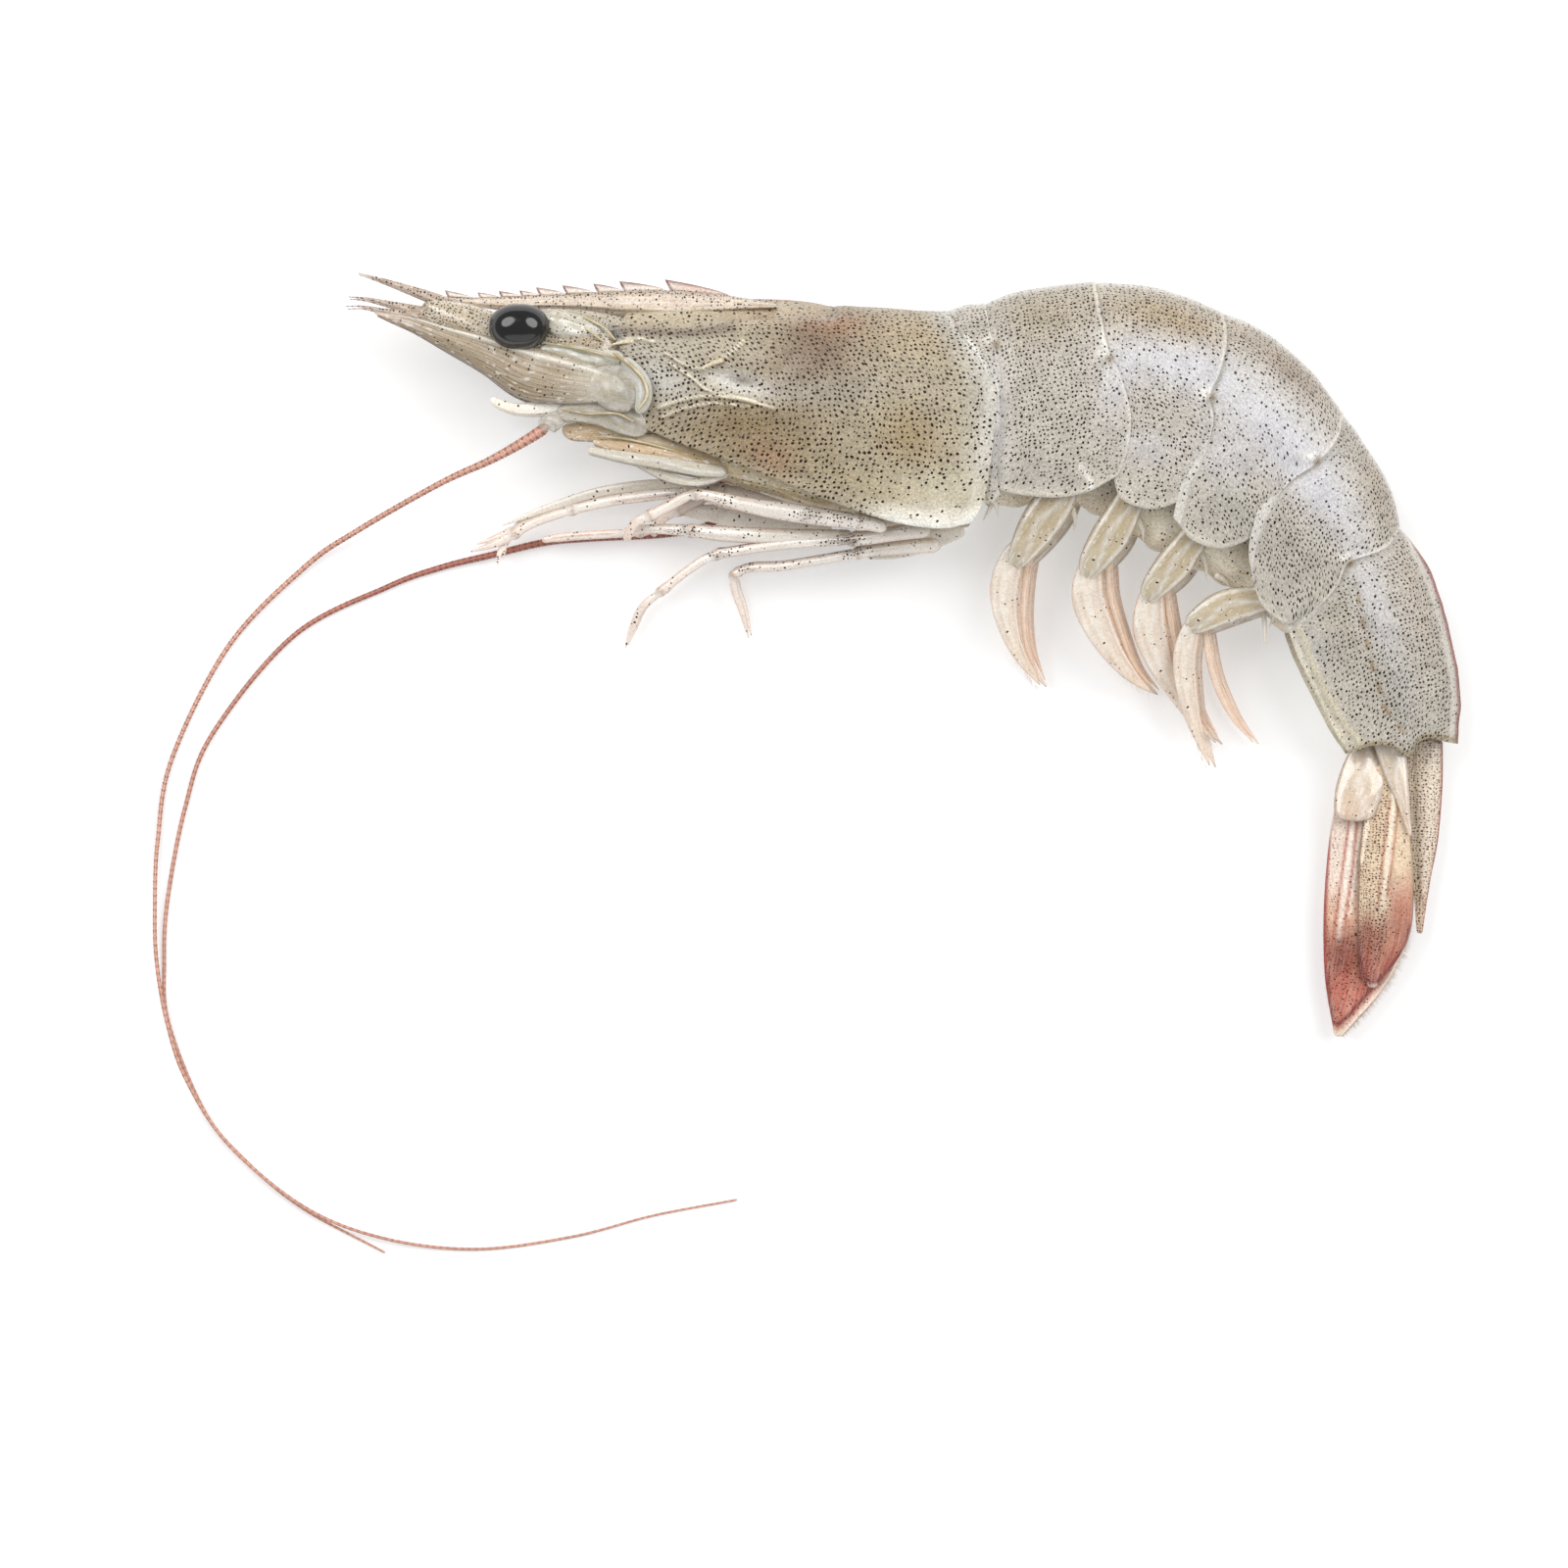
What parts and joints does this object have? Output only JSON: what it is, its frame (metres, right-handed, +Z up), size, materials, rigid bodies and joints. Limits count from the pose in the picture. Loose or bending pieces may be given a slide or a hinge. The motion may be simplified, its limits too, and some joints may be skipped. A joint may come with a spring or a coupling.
{
  "type": "raw whole shrimp",
  "caption": "One raw whole shrimp lying curled on its side, with its head, ringed shell, legs, swimmerets, tail fan and long antennae.",
  "frame": {"origin": "middle of the whole part's box, on the surface that the shrimp lies on", "axes": "+X from head to tail, +Y from belly to back at the carapace, +Z up from the surface towards the shrimp's left flank"},
  "size_m": [0.147, 0.1104, 0.0158],
  "materials": {
    "carapace_shell": "wet, glossy, translucent grey-olive shell with fine dark specks",
    "abdomen_shell": "wet, glossy, translucent grey shell with fine dark specks and a pale bluish sheen",
    "tail_blade": "thin wet blade, beige turning to brownish red at its end",
    "head_parts": "glassy wet shell, greenish grey",
    "eye": "polished black",
    "pale_limb": "wet translucent ivory with dark specks",
    "antenna": "fine reddish-brown ringed strand"
  },
  "bodies": {
    "root": {"carapace": "carapace_shell", "abdomen_1": "abdomen_shell", "abdomen_2": "abdomen_shell", "abdomen_3": "abdomen_shell", "abdomen_4": "abdomen_shell", "abdomen_5": "abdomen_shell", "abdomen_6": "abdomen_shell", "telson": "tail_blade", "tail_base_left": "tail_blade", "tail_base_right": "tail_blade", "tail_outer_left": "tail_blade", "tail_outer_right": "tail_blade", "tail_inner_left": "tail_blade", "tail_inner_right": "tail_blade", "head": "head_parts", "eyestalk_left": "head_parts", "eyestalk_right": "head_parts", "antennule_left": "head_parts", "antennule_right": "head_parts", "antenna_base_left": "head_parts", "antenna_base_right": "head_parts", "antenna_scale_left": "head_parts", "antenna_scale_right": "head_parts", "eye_left": "eye", "eye_right": "eye", "thorax": "pale_limb", "maxilliped_left": "pale_limb", "maxilliped_right": "pale_limb", "leg_1_left": "pale_limb", "leg_2_left": "pale_limb", "leg_3_left": "pale_limb", "leg_4_left": "pale_limb", "leg_5_left": "pale_limb", "leg_1_right": "pale_limb", "leg_2_right": "pale_limb", "leg_3_right": "pale_limb", "leg_4_right": "pale_limb", "leg_5_right": "pale_limb", "swimmeret_1_left": "pale_limb", "swimmeret_2_left": "pale_limb", "swimmeret_3_left": "pale_limb", "swimmeret_4_left": "pale_limb", "swimmeret_1_right": "pale_limb", "swimmeret_2_right": "pale_limb", "swimmeret_3_right": "pale_limb", "swimmeret_4_right": "pale_limb", "antenna_left": "antenna", "antenna_right": "antenna"}
  },
  "joints": []
}
